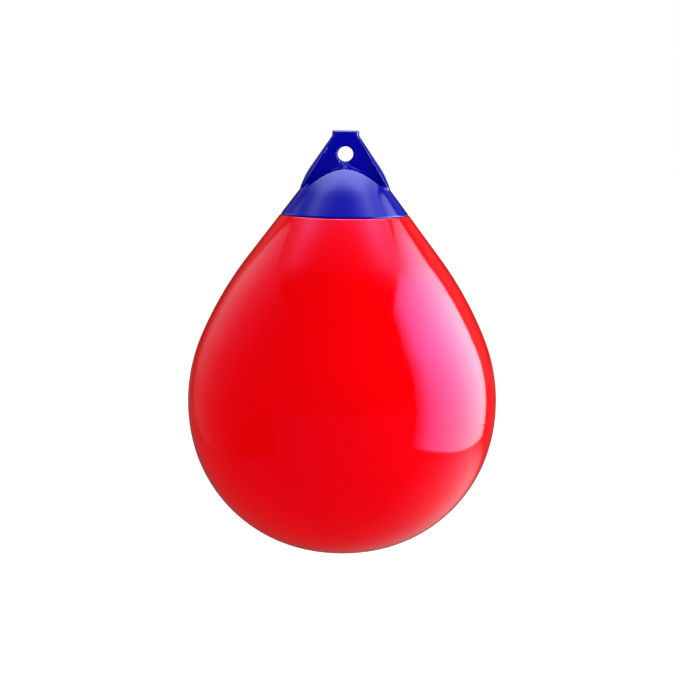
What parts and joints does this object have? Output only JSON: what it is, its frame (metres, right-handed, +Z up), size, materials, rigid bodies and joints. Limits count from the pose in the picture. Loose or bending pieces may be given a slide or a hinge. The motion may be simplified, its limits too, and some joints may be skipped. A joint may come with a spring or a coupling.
{
  "type": "inflatable mooring buoy",
  "caption": "Inflatable teardrop mooring buoy: red bladder with a blue moulded rope hold, an eye through its top and a screw valve on its shoulder.",
  "frame": {"origin": "centre of the rope hold's eye, from which the buoy hangs", "axes": "+Z up along the buoy's axis of revolution, the eye's bore along Y, front facing -Y and the valve on the +Y side"},
  "size_m": [0.5106, 0.5104, 0.699],
  "materials": {
    "bladder_red": "glossy plasticised PVC",
    "rope_hold_blue": "glossy moulded PVC",
    "valve_brass": "turned, dull",
    "valve_rubber": "matt",
    "valve_white": "satin nylon"
  },
  "bodies": {
    "root": {"body": "bladder_red", "rope_hold": "rope_hold_blue", "valve_insert": "valve_brass", "valve_washer": "valve_rubber", "valve_screw": "valve_white"}
  },
  "joints": []
}
